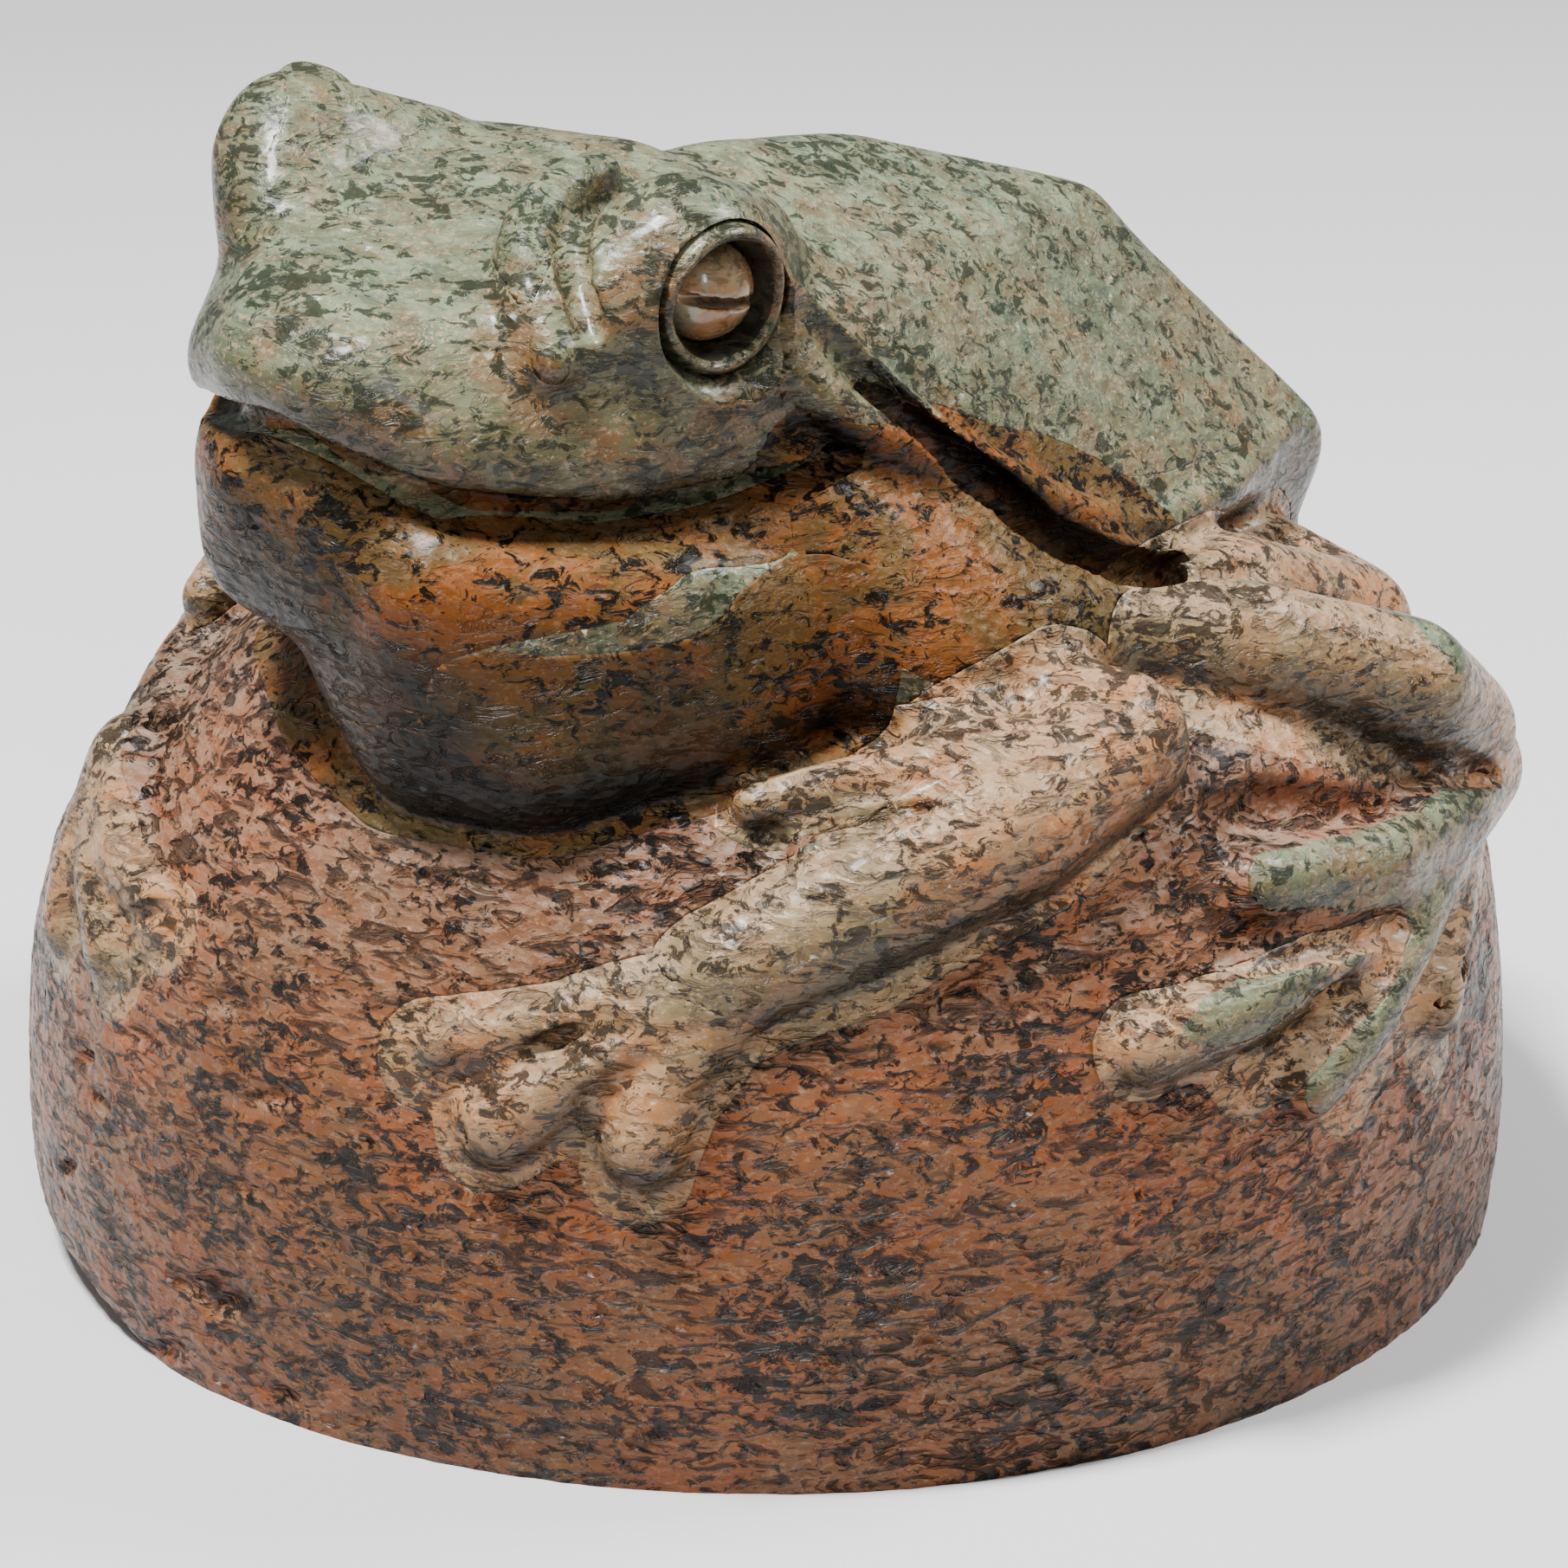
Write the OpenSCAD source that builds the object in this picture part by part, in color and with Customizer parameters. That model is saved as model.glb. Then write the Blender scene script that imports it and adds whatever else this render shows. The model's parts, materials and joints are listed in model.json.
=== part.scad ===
// Garden carving of a frog crouching on a rounded boulder.
// Millimetres, +Z up, the frog faces -Y and its left side is +X.
// The carving is one block: each node is one carved region, meeting its neighbours face to face.

/* [Boulder] */
// Widest diameter of the boulder
boulder_d = 294; // [245:1:353]
// Height of the boulder's crown, under the frog
boulder_h = 136; // [113:1:164]

/* [Head] */
// Height of the eyes above the boulder's crown
eye_up = 75; // [70:1:84]
// Distance between the centres of the two eyes
eye_span = 106; // [88:1:118]
// Snout length, from the line of the eyes to the lip
snout_l = 60; // [52:1:70]
// Turn of the head towards the frog's left
head_turn = 7; // [0:1:12]
// Tilt of the head, its right side raised
head_tilt = 8; // [0:1:10]
// Diameter of an eyeball
eyeball_d = 20; // [17:1:21]
// Outer diameter of the raised rim round an eye
rim_d = 28; // [27:1:33]
// Height of the open mouth groove
mouth_gap = 8; // [5:1:10]
// Depth of the mouth groove behind the lips
mouth_deep = 6; // [3:1:8]

/* [Body] */
// Length of the frog's back, from the eyes to the tail
back_l = 204; // [170:1:245]
// Width across the two folds of the back
back_w = 140; // [117:1:160]
// Thickness of a fold along the back
fold_d = 12; // [9:1:15]

/* [Limbs] */
// Thickness of a forearm
forearm_d = 26; // [22:1:31]
// Thickness of a finger
finger_d = 16; // [13:1:19]
// Thickness of a thigh
thigh_d = 30; // [25:1:36]
// Thickness of a shank
shank_d = 28; // [23:1:33]
// Thickness of a toe
toe_d = 15; // [12:1:18]

/* [Hidden] */
$fn = 18;

boulder_r = boulder_d / 2;
half_w = back_w / 2;
half_eye = eye_span / 2;
frog_x = 11;
head_y = -79;

// Height share of the boulder against radius share.
profile = [[0, 0.99], [0.03, 1], [0.22, 1.004], [0.4, 0.992], [0.55, 0.965], [0.66, 0.93],
    [0.76, 0.885], [0.85, 0.825], [0.92, 0.73], [0.97, 0.58], [1, 0.34]];
function boulder_at(a, z) = boulder_r * lookup(z / boulder_h, profile)
    * (1 + 0.007 * cos(2 * a + 30) + 0.004 * cos(4 * a + 50));

// Point at bearing a (0 front, 90 the frog's left), z above the ground, standing out of the rock.
function on_rock(a, z, out = 0) =
    let (r = boulder_at(a, z) + out) [r * sin(a), -r * cos(a), z];

// The same, with the height counted down from the crown and a ball diameter added.
function rest(a, down, out, d) = [each on_rock(a, boulder_h - down, out), d];

// Ball in the body: u is a share of half the width, t a share of the back's length, z from the crown.
function body(u, t, z, d) = [frog_x + u * half_w, head_y + t * back_l, boulder_h + z, d];

module ball(p) translate([p[0], p[1], p[2]]) sphere(d = p[3]);
module blob(balls) hull() for (b = balls) ball(b);
module chain(balls) for (i = [1 : len(balls) - 1]) hull() {
    ball(balls[i - 1]);
    ball(balls[i]);
}

// Bearings run the other way round on the frog's right, where the arm reaches further forwards.
module side(s) mirror([s < 0 ? 1 : 0, 0, 0]) children();
module arm_side(s) rotate([0, 0, s < 0 ? 13 : 0]) side(s) children();

module boulder_shape() {
    steps = 60;
    rings = [for (t = [0, 0.02, 0.05, 0.12, 0.22, 0.34, 0.46, 0.56, 0.64, 0.7, 0.76, 0.81, 0.86,
        0.9, 0.94, 0.97, 1]) t * boulder_h];
    n = len(rings);
    points = [for (z = rings) for (i = [0 : steps - 1]) on_rock(i * 360 / steps, z)];
    sides = [for (k = [0 : n - 2]) for (i = [0 : steps - 1])
        let (j = (i + 1) % steps) each
        [[k * steps + i, (k + 1) * steps + i, (k + 1) * steps + j],
         [k * steps + i, (k + 1) * steps + j, k * steps + j]]];
    base = [for (i = [0 : steps - 1]) i];
    crown = [for (i = [steps - 1 : -1 : 0]) (n - 1) * steps + i];
    polyhedron(points, concat([base], sides, [crown]), convexity = 4);
}

module in_head() translate([frog_x, head_y, boulder_h + eye_up])
    rotate([0, head_tilt, head_turn]) children();

// The eyes look sideways and a little forwards.
module in_eye(s) in_head() translate([s * (half_eye - 4), 0, 0]) rotate([0, 90, s < 0 ? 193 : -13])
    children();
module eyeball_shape(s) in_eye(s) translate([0, 0, -eyeball_d / 2 + 3]) sphere(d = eyeball_d);
module rim_shape(s) in_eye(s) rotate_extrude() translate([rim_d / 2 - 2.5, 0]) circle(d = 5);
module eye_cup(s) in_eye(s) translate([0, 0, -4]) cylinder(d1 = rim_d - 12, d2 = rim_d - 4, h = 15);

lip = -snout_l + 9;
module upper_head_shape() {
    in_head() blob([[half_eye - 16, 0, -17, 34], [16 - half_eye, 0, -17, 34],
        [half_eye - 18, 34, -20, 34], [18 - half_eye, 34, -20, 34],
        [8, lip + 3, -13, 16], [-8, lip + 3, -13, 16],
        [10, lip, -18, 14], [-10, lip, -18, 14], [26, lip + 12, -27, 16], [-26, lip + 12, -27, 16],
        [half_eye - 10, -16, -29, 14], [10 - half_eye, -16, -29, 14],
        [half_eye - 2, 26, -28, 16], [2 - half_eye, 26, -28, 16]]);
    for (s = [1, -1]) in_head() {
        blob([[s * (half_eye - 11), 1, -1, rim_d + 2], [s * (half_eye - 20), -15, -10, 24],
            [s * (half_eye - 18), 22, -6, 24]]);
        blob([[s * (half_eye - 11), 1, -1, rim_d + 2], [s * (half_eye - 10), 8, -20, 26]]);
    }
}
jaw = -28 - mouth_gap;
module lower_jaw_shape() {
    in_head() blob([[10, lip + 5, jaw - 8, 16], [-10, lip + 5, jaw - 8, 16],
        [26, lip + 15, jaw - 8, 16], [-26, lip + 15, jaw - 8, 16],
        [half_eye - 9, -14, jaw - 14, 16], [9 - half_eye, -14, jaw - 14, 16],
        [half_eye - 1, 26, jaw - 12, 16], [1 - half_eye, 26, jaw - 12, 16],
        [24, lip + 20, jaw - 26, 20], [-24, lip + 20, jaw - 26, 20],
        [half_eye - 8, -4, jaw - 30, 22], [8 - half_eye, -4, jaw - 30, 22]]);
}
module mouth_floor_shape() {
    k = mouth_deep;
    in_head() blob([[8, lip + k + 3, -20, 10], [-8, lip + k + 3, -20, 10],
        [24, lip + k + 15, -24, 12], [-24, lip + k + 15, -24, 12],
        [half_eye - 12 - k / 2, -10, -28, 12], [12 + k / 2 - half_eye, -10, -28, 12],
        [half_eye - k, 24, -28, 12], [k - half_eye, 24, -28, 12],
        [8, lip + k + 5, jaw - 8, 10], [-8, lip + k + 5, jaw - 8, 10],
        [24, lip + k + 16, jaw - 8, 12], [-24, lip + k + 16, jaw - 8, 12],
        [half_eye - 12 - k / 2, -10, jaw - 12, 12], [12 + k / 2 - half_eye, -10, jaw - 12, 12],
        [half_eye - k, 24, jaw - 12, 12], [k - half_eye, 24, jaw - 12, 12]]);
}
module in_neck() translate([frog_x, head_y, boulder_h + eye_up]) rotate([0, 0, head_turn])
    children();
module throat_shape() hull() {
    in_head() for (b = [[22, -36, -64, 22], [-22, -36, -64, 22], [half_eye - 6, -4, -66, 26],
        [6 - half_eye, -4, -66, 26], [half_eye + 2, 36, -64, 26], [-half_eye - 2, 36, -64, 26]])
        ball(b);
    in_neck() for (b = [[10, -34, -6, 26], [-8, -26, -4, 26], [34, -28, -5, 28],
        [half_eye, 0, -1, 30], [10 - half_eye, 2, 0, 26], [half_eye + 6, 34, 6, 28],
        [2 - half_eye, 30, 4, 26]])
        translate([b[0], b[1], b[2] - eye_up]) sphere(d = b[3]);
}

module back_shape() {
    blob([body(-0.06, 0.1, 58, 36), body(-0.08, 0.3, 62, 30), body(-0.1, 0.46, 58, 30),
        body(0.1, 0.7, 52, 14), body(-0.1, 0.68, 50, 14),
        body(0.66, 0.16, 56, 12), body(0.74, 0.33, 26, 12), body(0.84, 0.44, 11, 12),
        body(0.78, 0.58, 6, 12), body(0.66, 0.76, 6, 12),
        body(-0.66, 0.16, 56, 12), body(-0.82, 0.33, 34, 12), body(-0.92, 0.46, 20, 12),
        body(-0.86, 0.6, 12, 12), body(-0.68, 0.76, 8, 12),
        body(0.5, 0.3, -6, 20), body(-0.5, 0.3, -6, 20), body(0.4, 0.7, -6, 20),
        body(-0.4, 0.7, -6, 20)]);
}
module rump_shape() {
    blob([body(0.1, 0.7, 50, 14), body(-0.1, 0.68, 48, 14), body(0.58, 0.75, 5, 14),
        body(-0.62, 0.75, 6, 14), body(0.46, 0.9, 4, 16), body(-0.36, 0.9, 4, 16),
        body(0.1, 0.96, -6, 18), body(0.4, 0.84, -18, 24), body(-0.4, 0.84, -18, 24)]);
}
module fold_shape(s) {
    k = s < 0 ? 4 : 0;
    chain([body(s * 0.66, 0.12, 64, fold_d), body(s * 0.68, 0.2, 48, fold_d),
        body(s * 0.76, 0.34, 27 + k, fold_d), body(s * 0.86, 0.45, 12 + k, fold_d),
        body(s * 0.82, 0.57, 6 + k, fold_d), body(s * 0.7, 0.7, 5 + k, fold_d),
        body(s * 0.56, 0.8, 6 + k, fold_d)]);
}
module shoulder_shape(s) {
    blob([body(s * 0.62, 0.14, 30, 36), body(s * 0.94, 0.2, 6, 32), body(s * 1.04, 0.32, 8, 28),
        body(s * 0.96, 0.46, 4, 26), body(s * 0.7, 0.3, 24, 20)]);
    blob([body(s * 0.94, 0.2, 6, 32), body(s * 0.6, 0.4, 0, 30), body(s * 0.96, 0.46, 4, 26)]);
}

// A negative sink lets an arm lie deeper in the rock, with its hand a little higher.
module forearm_shape(sink) {
    chain([rest(77, 12, 4 + sink, forearm_d + 2), rest(64, 23, -1 + sink, forearm_d + 4),
        rest(52, 36 + sink / 2, -6 + sink / 2, forearm_d + 2),
        rest(42, 46 + sink, -7 + sink / 2, forearm_d)]);
    blob([rest(77, 9, 2 + sink, forearm_d - 4), rest(70, 5, sink, forearm_d - 6),
        rest(62, 19, -4 + sink, forearm_d)]);
}
finger_tips = [[20, 60], [25, 72], [36, 75]];
module hand_shape(sink) {
    for (t = finger_tips) chain([rest(42, 47 + sink, -7 + sink / 2, forearm_d - 2),
        rest(t[0] * 0.5 + 20, t[1] * 0.5 + 24 + sink, -3, finger_d - 1),
        rest(t[0], t[1] + sink, -3, finger_d)]);
}
module inner_finger_shape(sink) {
    chain([rest(62, 12, 3 + sink, finger_d), rest(52, 13, 2 + sink / 2, finger_d - 2),
        rest(45, 15, 1, finger_d - 4)]);
}
module thigh_shape(s) {
    x = s < 0 ? 0.2 : 0;
    chain([body(s * (0.5 + x), 0.76, -20, thigh_d + 8), body(s * (0.9 + x), 0.8, -22, thigh_d),
        body(s * (0.98 + x), 0.6, -9, thigh_d - 2), body(s * (1.16 + x), 0.44, -5, thigh_d - 4)]);
}
module shank_shape() {
    chain([rest(91, 7, 7, shank_d - 3), rest(102, 12, 6.2, shank_d), rest(116, 26, 1.4, shank_d),
        rest(127, 42, -2.6, shank_d)]);
}
toe_tips = [[73, 60], [82, 68], [92, 78], [104, 80]];
module foot_shape() {
    chain([rest(130, 50, -4, shank_d - 4), rest(116, 56, -6, shank_d - 2)]);
    for (t = toe_tips) chain([rest(118, 54, -6, shank_d - 6),
        rest((t[0] + 106) / 2, (t[1] + 54) / 2, -4, toe_d), rest(t[0], t[1], -3, toe_d)]);
}

module eyes() for (s = [1, -1]) {
    eyeball_shape(s);
    rim_shape(s);
}
module head_all() {
    upper_head_shape();
    lower_jaw_shape();
    mouth_floor_shape();
    throat_shape();
}
function sink(s) = s < 0 ? -7 : 0;
module arms() for (s = [1, -1]) arm_side(s) {
    forearm_shape(sink(s));
    hand_shape(sink(s));
    inner_finger_shape(sink(s));
}
module legs() {
    for (s = [1, -1]) side(s) {
        shank_shape();
        foot_shape();
    }
    for (s = [1, -1]) thigh_shape(s);
}

module boulder() color([0.55, 0.41, 0.32]) boulder_shape();
module eyeball(s) color([0.6, 0.5, 0.4]) difference() {
    eyeball_shape(s);
    in_eye(s) translate([-0.8, -eyeball_d / 2, 0.5]) cube([1.6, eyeball_d, 4]);
}
module eye_rim(s) color([0.45, 0.46, 0.36]) difference() {
    rim_shape(s);
    eyeball_shape(s);
}
module upper_head() color([0.36, 0.42, 0.36]) difference() {
    upper_head_shape();
    for (s = [1, -1]) {
        eye_cup(s);
        eyeball_shape(s);
        rim_shape(s);
    }
    mouth_floor_shape();
    boulder_shape();
}
module lower_jaw() color([0.5, 0.39, 0.26]) difference() {
    lower_jaw_shape();
    upper_head_shape();
    mouth_floor_shape();
    boulder_shape();
}
module mouth_floor() color([0.4, 0.4, 0.42]) difference() {
    mouth_floor_shape();
    boulder_shape();
}
module throat() color([0.3, 0.22, 0.16]) difference() {
    throat_shape();
    upper_head_shape();
    lower_jaw_shape();
    mouth_floor_shape();
    boulder_shape();
}
module forearm(s) color([0.62, 0.47, 0.36]) difference() {
    arm_side(s) forearm_shape(sink(s));
    head_all();
    boulder_shape();
}
module hand(s) color([0.66, 0.5, 0.38]) difference() {
    arm_side(s) hand_shape(sink(s));
    arm_side(s) forearm_shape(sink(s));
    head_all();
    boulder_shape();
}
module inner_finger(s) color([0.64, 0.48, 0.38]) difference() {
    arm_side(s) inner_finger_shape(sink(s));
    arm_side(s) forearm_shape(sink(s));
    head_all();
    boulder_shape();
}
module shank(s) color([0.42, 0.46, 0.36]) difference() {
    side(s) shank_shape();
    arms();
    boulder_shape();
}
module foot(s) color([0.4, 0.45, 0.35]) difference() {
    side(s) foot_shape();
    side(s) shank_shape();
    arms();
    boulder_shape();
}
module thigh(s) color([0.55, 0.4, 0.3]) difference() {
    thigh_shape(s);
    side(s) shank_shape();
    side(s) foot_shape();
    arms();
    boulder_shape();
}
module shoulder(s) color([0.58, 0.42, 0.28]) difference() {
    shoulder_shape(s);
    head_all();
    arms();
    legs();
    boulder_shape();
}
module fold(s) color([0.4, 0.46, 0.38]) difference() {
    fold_shape(s);
    shoulder_shape(s);
    head_all();
    arms();
    legs();
    boulder_shape();
}
module back() color([0.33, 0.42, 0.37]) difference() {
    back_shape();
    head_all();
    arms();
    legs();
    for (s = [1, -1]) {
        shoulder_shape(s);
        fold_shape(s);
    }
    boulder_shape();
}
module rump() color([0.38, 0.4, 0.32]) difference() {
    rump_shape();
    back_shape();
    arms();
    legs();
    for (s = [1, -1]) {
        shoulder_shape(s);
        fold_shape(s);
    }
    boulder_shape();
}

boulder();
back();
rump();
fold(1);  // left_fold
fold(-1);  // right_fold
shoulder(1);  // left_shoulder
shoulder(-1);  // right_shoulder
upper_head();
lower_jaw();
mouth_floor();
throat();
eye_rim(1);  // left_eye_rim
eye_rim(-1);  // right_eye_rim
eyeball(1);  // left_eyeball
eyeball(-1);  // right_eyeball
forearm(1);  // left_forearm
hand(1);  // left_hand
inner_finger(1);  // left_inner_finger
forearm(-1);  // right_forearm
hand(-1);  // right_hand
inner_finger(-1);  // right_inner_finger
thigh(1);  // left_thigh
shank(1);  // left_shank
foot(1);  // left_foot
thigh(-1);  // right_thigh
shank(-1);  // right_shank
foot(-1);  // right_foot
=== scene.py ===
import json
import math
import random

import bpy
from mathutils import Matrix, Vector


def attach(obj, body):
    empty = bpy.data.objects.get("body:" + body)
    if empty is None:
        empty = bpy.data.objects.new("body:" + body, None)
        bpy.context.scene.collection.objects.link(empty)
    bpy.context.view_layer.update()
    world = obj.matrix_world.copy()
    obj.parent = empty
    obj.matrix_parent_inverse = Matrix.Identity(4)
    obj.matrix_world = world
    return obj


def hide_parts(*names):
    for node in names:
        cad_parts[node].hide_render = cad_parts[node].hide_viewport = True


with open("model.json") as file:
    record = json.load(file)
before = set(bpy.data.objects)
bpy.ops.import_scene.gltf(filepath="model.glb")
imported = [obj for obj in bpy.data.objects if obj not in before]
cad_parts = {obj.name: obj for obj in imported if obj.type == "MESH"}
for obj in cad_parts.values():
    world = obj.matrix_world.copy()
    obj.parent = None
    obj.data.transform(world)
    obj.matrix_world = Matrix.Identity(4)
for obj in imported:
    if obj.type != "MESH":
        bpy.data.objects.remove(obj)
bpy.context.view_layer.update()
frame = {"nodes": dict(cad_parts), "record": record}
random.seed(7)
mm = 0.001

cameraFacts = {
    "azimuth": 45.0,        # degrees round from the frog's front towards its left
    "elevation": 20.5,
    "distance": 1.0,
    "target": (0.0022, 0.0022, 0.080),
    "lens": 115.6,
}


def addCamera(facts):
    azimuth, elevation = math.radians(facts["azimuth"]), math.radians(facts["elevation"])
    outward = Vector((math.sin(azimuth) * math.cos(elevation),
                      -math.cos(azimuth) * math.cos(elevation), math.sin(elevation)))
    place = Vector(facts["target"]) + outward * facts["distance"]
    bpy.ops.object.camera_add(location=place, rotation=outward.to_track_quat('Z', 'Y').to_euler())
    camera = bpy.context.object
    camera.data.lens = facts["lens"]
    camera.data.sensor_width = 36.0
    camera.data.clip_start, camera.data.clip_end = 0.01, 20.0
    bpy.context.scene.camera = camera


addCamera(cameraFacts)
print("camera placed")


# small tools

def pick(*objects):
    bpy.ops.object.select_all(action='DESELECT')
    for obj in objects:
        obj.select_set(True)
    bpy.context.view_layer.objects.active = objects[0]


def applyModifier(obj, kind, **settings):
    pick(obj)
    modifier = obj.modifiers.new(kind.title(), kind)
    for name, value in settings.items():
        setattr(modifier, name, value)
    bpy.ops.object.modifier_apply(modifier=modifier.name)


def joinAll(objects, name):
    pick(*objects)
    if len(objects) > 1:
        bpy.ops.object.join()
    bpy.context.object.name = name
    return bpy.context.object


def remove(obj):
    bpy.data.meshes.remove(obj.data)


def voxelRemesh(obj, size):
    pick(obj)
    obj.data.remesh_voxel_size = size
    bpy.ops.object.voxel_remesh()


def copyOf(obj, name):
    # a CAD node's own mesh is never changed, so a copy is merged and worked on
    made = bpy.data.objects.new(name, obj.data.copy())
    bpy.context.scene.collection.objects.link(made)
    made.data.materials.clear()
    pick(made)
    bpy.ops.object.mode_set(mode='EDIT')
    bpy.ops.mesh.select_all(action='SELECT')
    bpy.ops.mesh.remove_doubles(threshold=0.00001)
    bpy.ops.object.mode_set(mode='OBJECT')
    return made


# where things are: the head, the neck, the body and the rock each have their own measures, in mm

posture = {
    "frogX": 11.0,          # the frog sits a little to one side of the boulder's middle
    "eyeLineY": -79.0,
    "crownZ": 136.0,
    "eyeZ": 211.0,
    "headTurn": 7.0,        # degrees towards its left
    "headTilt": 8.0,        # degrees, right side raised
}
rockProfile = [(0, 146), (4, 147), (30, 147.6), (54, 146), (75, 142), (90, 137), (103, 130),
               (116, 121), (125, 107), (132, 85), (136, 50), (160, 30)]


def rockRadius(z):
    for (z0, r0), (z1, r1) in zip(rockProfile, rockProfile[1:]):
        if z <= z1:
            return r0 + (r1 - r0) * (z - z0) / (z1 - z0)
    return rockProfile[-1][1]


turnMatrix = Matrix.Rotation(math.radians(posture["headTurn"]), 4, 'Z')
tiltMatrix = Matrix.Rotation(math.radians(posture["headTilt"]), 4, 'Y')
eyeMiddle = Matrix.Translation((posture["frogX"], posture["eyeLineY"], posture["eyeZ"]))
measures = {
    "head": eyeMiddle @ turnMatrix @ tiltMatrix,
    "neck": eyeMiddle @ turnMatrix,
    "body": Matrix.Translation((posture["frogX"], posture["eyeLineY"], posture["crownZ"])),
}


def spot(measure, x, y, z):
    if measure == "rock":     # bearing from the front, depth below the crown, how far it stands out
        radius = rockRadius(posture["crownZ"] - y) + z
        bearing = math.radians(x)
        return Vector((radius * math.sin(bearing), -radius * math.cos(bearing),
                       posture["crownZ"] - y)) * mm
    return (measures[measure] @ Vector((x, y, z))) * mm


def addBall(measure, ball):
    x, y, z, thick = ball
    bpy.ops.mesh.primitive_uv_sphere_add(segments=20, ring_count=12, radius=thick / 2 * mm,
                                         location=spot(measure, x, y, z))
    return bpy.context.object


def addHull(measure, balls):
    obj = joinAll([addBall(measure, ball) for ball in balls], "clay")
    bpy.ops.object.transform_apply(location=True, rotation=True, scale=True)
    bpy.ops.object.mode_set(mode='EDIT')
    bpy.ops.mesh.select_all(action='SELECT')
    bpy.ops.mesh.convex_hull()
    bpy.ops.object.mode_set(mode='OBJECT')
    return obj


def addChain(measure, balls):
    return [addHull(measure, pair) for pair in zip(balls, balls[1:])]


def mirrorBalls(balls):
    return [(-x, y, z, thick) for x, y, z, thick in balls]


def bothSides(balls):
    return balls + mirrorBalls(balls)


# the frog's big soft masses, smoothed together before they meet the rock

masses = {
    "skull": ("head", bothSides([
        (36, 2, -16, 38), (32, 34, -17, 38), (14, -24, -17, 30), (10, -45, -17, 20),
        (9, -49, -19, 17), (25, -38, -26, 19), (42, -15, -28, 20), (50, 8, -27, 21),
        (51, 27, -26, 21)]) + [(0, 34, -12, 40)]),
    "jaw": ("head", [
        (10, -44, -43, 20), (42, -14, -47, 20), (51, 8, -48, 21), (52, 28, -45, 22),
        (16, -38, -58, 30), (44, -4, -62, 30), (52, 28, -60, 24), (26, -36, -44, 20),
        (-12, -43, -43, 20), (-39, -13, -46, 19), (-50, 8, -47, 20), (-51, 28, -44, 21),
        (-15, -35, -58, 28), (-40, -3, -60, 28), (-50, 28, -60, 24), (-24, -36, -43, 18)]),
    "leftEye": ("head", [(40, 3, 2, 35), (34, -12, -6, 28), (33, 24, -3, 30),
                         (45, 8, -20, 28), (46, 2, -4, 28)]),
    "rightEye": ("head", [(-46, -5, 1, 29), (-40, 0, 0, 26), (-36, -16, -8, 26), (-34, 20, -6, 27),
                          (-45, 8, -20, 28), (-46, 2, -4, 28)]),
    "throat": ("neck", [
        (14, -34, -83, 32), (-4, -26, -78, 28), (34, -30, -83, 32), (52, -6, -80, 32),
        (-36, 6, -74, 26), (60, 30, -70, 30), (-46, 32, -70, 26),
        (20, -40, -56, 30), (-14, -31, -52, 26), (46, -14, -60, 32), (-38, -2, -56, 26)]),
    "leftShoulder": ("body", [
        (46, 26, 24, 38), (66, 37, -2, 37), (73, 60, -4, 34), (70, 92, -5, 28),
        (50, 60, 18, 24)]),
    "rightShoulder": ("body", [
        (-44, 28, 24, 36), (-62, 40, -2, 33), (-70, 64, 0, 28), (-68, 92, -4, 26),
        (-50, 60, 20, 24)]),
    "back": ("body", [
        (-4, 20, 58, 38), (-6, 61, 62, 32), (-7, 94, 58, 32), (10, 144, 52, 14),
        (-7, 140, 51, 14), (46, 33, 56, 14), (52, 67, 27, 14), (59, 90, 12, 14),
        (55, 118, 7, 14), (46, 155, 6, 14), (-46, 33, 56, 14), (-57, 67, 35, 14),
        (-64, 94, 21, 14), (-60, 122, 12, 14), (-48, 155, 8, 14), (35, 61, -6, 20),
        (-35, 61, -6, 20), (28, 143, -6, 20), (-28, 143, -6, 20)]),
    "rump": ("body", [
        (10, 143, 51, 14), (-7, 139, 49, 14), (41, 153, 6, 16), (-43, 153, 7, 16),
        (33, 182, 3, 18), (-25, 182, 2, 18), (7, 194, -8, 20), (28, 171, -18, 24),
        (-28, 171, -18, 24)]),
}
limbs = {
    "leftForearm": ("rock", [(78, 13, 3, 28), (65, 21, 1, 28), (53, 31, -2, 26),
                             (42, 43, -5, 24)]),
    "leftElbow": ("rock", [(77, 10, 2, 22), (70, 5, 0, 20), (62, 16, -3, 24)]),
    "leftThigh": ("body", [(35, 155, -20, 38), (65, 165, -25, 26), (70, 122, -9, 27),
                           (81, 90, -6, 26)]),
    "leftShank": ("rock", [(90, 3, 10, 24), (102, 8, 9, 26), (115, 20, 6, 27),
                           (126, 37, 1, 27)]),
    "leftHeel": ("rock", [(129, 47, -1, 24), (116, 46, -1, 18), (100, 43, 0, 17),
                          (86, 38, 0, 15)]),
    "rightThigh": ("body", [(-49, 155, -20, 38), (-77, 163, -22, 30), (-83, 122, -9, 29),
                            (-95, 90, -6, 26)]),
    "rightShank": ("rock", [(-90, 4, 8, 25), (-102, 9, 6, 27), (-115, 21, 3, 28),
                            (-126, 38, -2, 27)]),
    "rightHeel": ("rock", [(-129, 47, -4, 24), (-116, 46, -4, 17), (-100, 43, -3, 16),
                           (-86, 38, -3, 14)]),
    "rightForearm": ("rock", [(-66, 14, -23, 27), (-52, 25, -24, 28), (-39, 35, -20, 26),
                              (-29, 40, -14, 24)]),
    "rightElbow": ("rock", [(-66, 10, -22, 22), (-58, 8, -23, 20), (-50, 21, -23, 25)]),
}
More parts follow.
